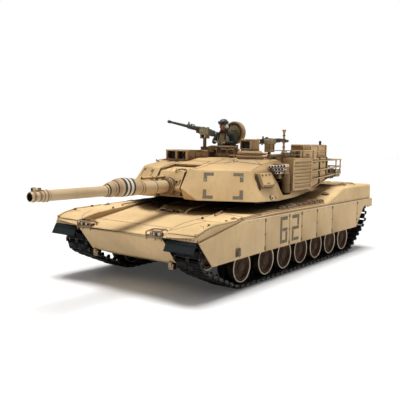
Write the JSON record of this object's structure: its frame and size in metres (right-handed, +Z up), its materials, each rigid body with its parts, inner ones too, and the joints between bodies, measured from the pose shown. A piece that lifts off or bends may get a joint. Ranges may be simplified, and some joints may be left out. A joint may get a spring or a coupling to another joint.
{
  "type": "remote control model tank",
  "caption": "Remote-control model battle tank with turning turret, sprung road wheels, link tracks, roof guns and a half figure in the open hatch.",
  "frame": {"origin": "centre of the bounding box at ground level", "axes": "-Y towards the gun muzzle, +X towards the tank's left side, +Z up"},
  "size_m": [0.231, 0.6146, 0.2086],
  "materials": {
    "sand_armour": "matt paint, weathered",
    "sand_plastic": "matt paint over moulded plastic, weathered",
    "wheel_paint": "dark brown, dusty, light edge",
    "track_steel": "dark moulded shoes, dry-brushed edges",
    "flap_rubber": "matt",
    "barrel_metal": "matt paint",
    "gun_finish": "dark green-grey, worn",
    "crew_paint": "matt hobby paint",
    "battery_wrap": "shrink wrap",
    "board_case": "matt",
    "gear_metal": "cast"
  },
  "bodies": {
    "hull": {"lower_hull": "sand_plastic", "upper_hull": "sand_plastic", "skirt_left": "sand_plastic", "skirt_right": "sand_plastic", "mudflap_left": "flap_rubber", "mudflap_right": "flap_rubber", "rear_grille": "sand_plastic", "battery_pack": "battery_wrap", "control_unit": "board_case", "gearbox": "gear_metal", "track_left": "track_steel", "track_right": "track_steel"},
    "turret": {"turret_shell": "sand_plastic", "turret_ring": "sand_plastic", "gunner_sight": "sand_plastic", "smoke_launcher_left": "sand_plastic", "smoke_launcher_right": "sand_plastic", "bustle_rack": "sand_plastic"},
    "gun_shield": {"mantlet": "sand_plastic"},
    "gun": {"gun_barrel": "barrel_metal"},
    "cupola": {"commander_cupola": "sand_plastic", "crew_figure": "crew_paint"},
    "cupola_hatch": {"commander_hatch": "sand_plastic"},
    "heavy_gun": {"heavy_machine_gun": "gun_finish"},
    "roof_hatch": {"loader_hatch": "sand_plastic"},
    "light_gun": {"light_machine_gun": "gun_finish"},
    "sight_head": {"panoramic_sight": "sand_plastic"},
    "sprocket_left": {"sprocket_left": "sand_armour"},
    "idler_left": {"idler_left": "wheel_paint"},
    "arm_left_1": {"swing_arm_left_1": "sand_armour"},
    "wheel_left_1": {"road_wheel_left_1": "wheel_paint"},
    "arm_left_2": {"swing_arm_left_2": "sand_armour"},
    "wheel_left_2": {"road_wheel_left_2": "wheel_paint"},
    "arm_left_3": {"swing_arm_left_3": "sand_armour"},
    "wheel_left_3": {"road_wheel_left_3": "wheel_paint"},
    "arm_left_4": {"swing_arm_left_4": "sand_armour"},
    "wheel_left_4": {"road_wheel_left_4": "wheel_paint"},
    "arm_left_5": {"swing_arm_left_5": "sand_armour"},
    "wheel_left_5": {"road_wheel_left_5": "wheel_paint"},
    "arm_left_6": {"swing_arm_left_6": "sand_armour"},
    "wheel_left_6": {"road_wheel_left_6": "wheel_paint"},
    "arm_left_7": {"swing_arm_left_7": "sand_armour"},
    "wheel_left_7": {"road_wheel_left_7": "wheel_paint"},
    "sprocket_right": {"sprocket_right": "sand_armour"},
    "idler_right": {"idler_right": "wheel_paint"},
    "arm_right_1": {"swing_arm_right_1": "sand_armour"},
    "wheel_right_1": {"road_wheel_right_1": "wheel_paint"},
    "arm_right_2": {"swing_arm_right_2": "sand_armour"},
    "wheel_right_2": {"road_wheel_right_2": "wheel_paint"},
    "arm_right_3": {"swing_arm_right_3": "sand_armour"},
    "wheel_right_3": {"road_wheel_right_3": "wheel_paint"},
    "arm_right_4": {"swing_arm_right_4": "sand_armour"},
    "wheel_right_4": {"road_wheel_right_4": "wheel_paint"},
    "arm_right_5": {"swing_arm_right_5": "sand_armour"},
    "wheel_right_5": {"road_wheel_right_5": "wheel_paint"},
    "arm_right_6": {"swing_arm_right_6": "sand_armour"},
    "wheel_right_6": {"road_wheel_right_6": "wheel_paint"},
    "arm_right_7": {"swing_arm_right_7": "sand_armour"},
    "wheel_right_7": {"road_wheel_right_7": "wheel_paint"}
  },
  "joints": [
    {"name": "turret_traverse", "type": "hinge", "parent": "hull", "child": "turret", "pos_m": [0, 0.0236, 0.095], "axis": [0, 0, 1], "range_deg": [-135, 135]},
    {"name": "gun_elevation", "type": "hinge", "parent": "turret", "child": "gun_shield", "pos_m": [0, -0.0664, 0.118], "axis": [-1, 0, 0], "range_deg": [-5, 18]},
    {"name": "gun_recoil", "type": "slide", "parent": "gun_shield", "child": "gun", "axis": [0, 1, 0], "range_m": [0, 0.008], "stiffness_N_per_m": 300, "springref_m": -0.004},
    {"name": "cupola_turn", "type": "hinge", "parent": "turret", "child": "cupola", "pos_m": [-0.03, 0.0676, 0.152], "axis": [0, 0, 1], "range_deg": [-60, 60]},
    {"name": "cupola_hatch_hinge", "type": "hinge", "parent": "cupola", "child": "cupola_hatch", "pos_m": [-0.03, 0.0926, 0.1683], "axis": [-1, 0, 0], "range_deg": [-6, 15]},
    {"name": "heavy_gun_elevation", "type": "hinge", "parent": "cupola", "child": "heavy_gun", "pos_m": [-0.038, 0.0316, 0.189], "axis": [-1, 0, 0], "range_deg": [-5, 20]},
    {"name": "roof_hatch_hinge", "type": "hinge", "parent": "turret", "child": "roof_hatch", "pos_m": [0.024, 0.1126, 0.1543], "axis": [-1, 0, 0], "range_deg": [0, 100]},
    {"name": "light_gun_swivel", "type": "hinge", "parent": "turret", "child": "light_gun", "pos_m": [0.049, 0.0686, 0.1523], "axis": [0, 0, 1], "range_deg": [-30, 5]},
    {"name": "sight_turn", "type": "hinge", "parent": "turret", "child": "sight_head", "pos_m": [0.045, 0.0243, 0.1523], "axis": [0, 0, 1], "continuous": true},
    {"name": "sprocket_spin_left", "type": "hinge", "parent": "hull", "child": "sprocket_left", "pos_m": [0.0894, 0.2776, 0.056], "axis": [1, 0, 0], "continuous": true},
    {"name": "idler_spin_left", "type": "hinge", "parent": "hull", "child": "idler_left", "pos_m": [0.0894, -0.1464, 0.051], "axis": [1, 0, 0], "continuous": true},
    {"name": "arm_swing_left_1", "type": "hinge", "parent": "hull", "child": "arm_left_1", "pos_m": [0.067, -0.0984, 0.03615], "axis": [1, 0, 0], "range_deg": [0, 12], "stiffness_Nm_per_rad": 0.3, "springref_deg": -5.73},
    {"name": "wheel_spin_left_1", "type": "hinge", "parent": "arm_left_1", "child": "wheel_left_1", "pos_m": [0.0894, -0.0764, 0.02515], "axis": [1, 0, 0], "continuous": true},
    {"name": "arm_swing_left_2", "type": "hinge", "parent": "hull", "child": "arm_left_2", "pos_m": [0.067, -0.0414, 0.03615], "axis": [1, 0, 0], "range_deg": [0, 12], "stiffness_Nm_per_rad": 0.3, "springref_deg": -5.73},
    {"name": "wheel_spin_left_2", "type": "hinge", "parent": "arm_left_2", "child": "wheel_left_2", "pos_m": [0.0894, -0.0194, 0.02515], "axis": [1, 0, 0], "continuous": true},
    {"name": "arm_swing_left_3", "type": "hinge", "parent": "hull", "child": "arm_left_3", "pos_m": [0.067, 0.0064, 0.03615], "axis": [1, 0, 0], "range_deg": [0, 12], "stiffness_Nm_per_rad": 0.3, "springref_deg": -5.73},
    {"name": "wheel_spin_left_3", "type": "hinge", "parent": "arm_left_3", "child": "wheel_left_3", "pos_m": [0.0894, 0.0284, 0.02515], "axis": [1, 0, 0], "continuous": true},
    {"name": "arm_swing_left_4", "type": "hinge", "parent": "hull", "child": "arm_left_4", "pos_m": [0.067, 0.0542, 0.03615], "axis": [1, 0, 0], "range_deg": [0, 12], "stiffness_Nm_per_rad": 0.3, "springref_deg": -5.73},
    {"name": "wheel_spin_left_4", "type": "hinge", "parent": "arm_left_4", "child": "wheel_left_4", "pos_m": [0.0894, 0.0762, 0.02515], "axis": [1, 0, 0], "continuous": true},
    {"name": "arm_swing_left_5", "type": "hinge", "parent": "hull", "child": "arm_left_5", "pos_m": [0.067, 0.102, 0.03615], "axis": [1, 0, 0], "range_deg": [0, 12], "stiffness_Nm_per_rad": 0.3, "springref_deg": -5.73},
    {"name": "wheel_spin_left_5", "type": "hinge", "parent": "arm_left_5", "child": "wheel_left_5", "pos_m": [0.0894, 0.124, 0.02515], "axis": [1, 0, 0], "continuous": true},
    {"name": "arm_swing_left_6", "type": "hinge", "parent": "hull", "child": "arm_left_6", "pos_m": [0.067, 0.1498, 0.03615], "axis": [1, 0, 0], "range_deg": [0, 12], "stiffness_Nm_per_rad": 0.3, "springref_deg": -5.73},
    {"name": "wheel_spin_left_6", "type": "hinge", "parent": "arm_left_6", "child": "wheel_left_6", "pos_m": [0.0894, 0.1718, 0.02515], "axis": [1, 0, 0], "continuous": true},
    {"name": "arm_swing_left_7", "type": "hinge", "parent": "hull", "child": "arm_left_7", "pos_m": [0.067, 0.1976, 0.03615], "axis": [1, 0, 0], "range_deg": [0, 12], "stiffness_Nm_per_rad": 0.3, "springref_deg": -5.73},
    {"name": "wheel_spin_left_7", "type": "hinge", "parent": "arm_left_7", "child": "wheel_left_7", "pos_m": [0.0894, 0.2196, 0.02515], "axis": [1, 0, 0], "continuous": true},
    {"name": "sprocket_spin_right", "type": "hinge", "parent": "hull", "child": "sprocket_right", "pos_m": [-0.0894, 0.2776, 0.056], "axis": [1, 0, 0], "continuous": true},
    {"name": "idler_spin_right", "type": "hinge", "parent": "hull", "child": "idler_right", "pos_m": [-0.0894, -0.1464, 0.051], "axis": [1, 0, 0], "continuous": true},
    {"name": "arm_swing_right_1", "type": "hinge", "parent": "hull", "child": "arm_right_1", "pos_m": [-0.067, -0.0984, 0.03615], "axis": [1, 0, 0], "range_deg": [0, 12], "stiffness_Nm_per_rad": 0.3, "springref_deg": -5.73},
    {"name": "wheel_spin_right_1", "type": "hinge", "parent": "arm_right_1", "child": "wheel_right_1", "pos_m": [-0.0894, -0.0764, 0.02515], "axis": [1, 0, 0], "continuous": true},
    {"name": "arm_swing_right_2", "type": "hinge", "parent": "hull", "child": "arm_right_2", "pos_m": [-0.067, -0.0414, 0.03615], "axis": [1, 0, 0], "range_deg": [0, 12], "stiffness_Nm_per_rad": 0.3, "springref_deg": -5.73},
    {"name": "wheel_spin_right_2", "type": "hinge", "parent": "arm_right_2", "child": "wheel_right_2", "pos_m": [-0.0894, -0.0194, 0.02515], "axis": [1, 0, 0], "continuous": true},
    {"name": "arm_swing_right_3", "type": "hinge", "parent": "hull", "child": "arm_right_3", "pos_m": [-0.067, 0.0064, 0.03615], "axis": [1, 0, 0], "range_deg": [0, 12], "stiffness_Nm_per_rad": 0.3, "springref_deg": -5.73},
    {"name": "wheel_spin_right_3", "type": "hinge", "parent": "arm_right_3", "child": "wheel_right_3", "pos_m": [-0.0894, 0.0284, 0.02515], "axis": [1, 0, 0], "continuous": true},
    {"name": "arm_swing_right_4", "type": "hinge", "parent": "hull", "child": "arm_right_4", "pos_m": [-0.067, 0.0542, 0.03615], "axis": [1, 0, 0], "range_deg": [0, 12], "stiffness_Nm_per_rad": 0.3, "springref_deg": -5.73},
    {"name": "wheel_spin_right_4", "type": "hinge", "parent": "arm_right_4", "child": "wheel_right_4", "pos_m": [-0.0894, 0.0762, 0.02515], "axis": [1, 0, 0], "continuous": true},
    {"name": "arm_swing_right_5", "type": "hinge", "parent": "hull", "child": "arm_right_5", "pos_m": [-0.067, 0.102, 0.03615], "axis": [1, 0, 0], "range_deg": [0, 12], "stiffness_Nm_per_rad": 0.3, "springref_deg": -5.73},
    {"name": "wheel_spin_right_5", "type": "hinge", "parent": "arm_right_5", "child": "wheel_right_5", "pos_m": [-0.0894, 0.124, 0.02515], "axis": [1, 0, 0], "continuous": true},
    {"name": "arm_swing_right_6", "type": "hinge", "parent": "hull", "child": "arm_right_6", "pos_m": [-0.067, 0.1498, 0.03615], "axis": [1, 0, 0], "range_deg": [0, 12], "stiffness_Nm_per_rad": 0.3, "springref_deg": -5.73},
    {"name": "wheel_spin_right_6", "type": "hinge", "parent": "arm_right_6", "child": "wheel_right_6", "pos_m": [-0.0894, 0.1718, 0.02515], "axis": [1, 0, 0], "continuous": true},
    {"name": "arm_swing_right_7", "type": "hinge", "parent": "hull", "child": "arm_right_7", "pos_m": [-0.067, 0.1976, 0.03615], "axis": [1, 0, 0], "range_deg": [0, 12], "stiffness_Nm_per_rad": 0.3, "springref_deg": -5.73},
    {"name": "wheel_spin_right_7", "type": "hinge", "parent": "arm_right_7", "child": "wheel_right_7", "pos_m": [-0.0894, 0.2196, 0.02515], "axis": [1, 0, 0], "continuous": true}
  ],
  "couplings": [
    {"joint": "idler_spin_left", "follows": "sprocket_spin_left", "ratio": 0.96935},
    {"joint": "wheel_spin_left_1", "follows": "sprocket_spin_left", "ratio": 1.0818},
    {"joint": "wheel_spin_left_2", "follows": "sprocket_spin_left", "ratio": 1.0818},
    {"joint": "wheel_spin_left_3", "follows": "sprocket_spin_left", "ratio": 1.0818},
    {"joint": "wheel_spin_left_4", "follows": "sprocket_spin_left", "ratio": 1.0818},
    {"joint": "wheel_spin_left_5", "follows": "sprocket_spin_left", "ratio": 1.0818},
    {"joint": "wheel_spin_left_6", "follows": "sprocket_spin_left", "ratio": 1.0818},
    {"joint": "wheel_spin_left_7", "follows": "sprocket_spin_left", "ratio": 1.0818},
    {"joint": "idler_spin_right", "follows": "sprocket_spin_right", "ratio": 0.96935},
    {"joint": "wheel_spin_right_1", "follows": "sprocket_spin_right", "ratio": 1.0818},
    {"joint": "wheel_spin_right_2", "follows": "sprocket_spin_right", "ratio": 1.0818},
    {"joint": "wheel_spin_right_3", "follows": "sprocket_spin_right", "ratio": 1.0818},
    {"joint": "wheel_spin_right_4", "follows": "sprocket_spin_right", "ratio": 1.0818},
    {"joint": "wheel_spin_right_5", "follows": "sprocket_spin_right", "ratio": 1.0818},
    {"joint": "wheel_spin_right_6", "follows": "sprocket_spin_right", "ratio": 1.0818},
    {"joint": "wheel_spin_right_7", "follows": "sprocket_spin_right", "ratio": 1.0818}
  ]
}
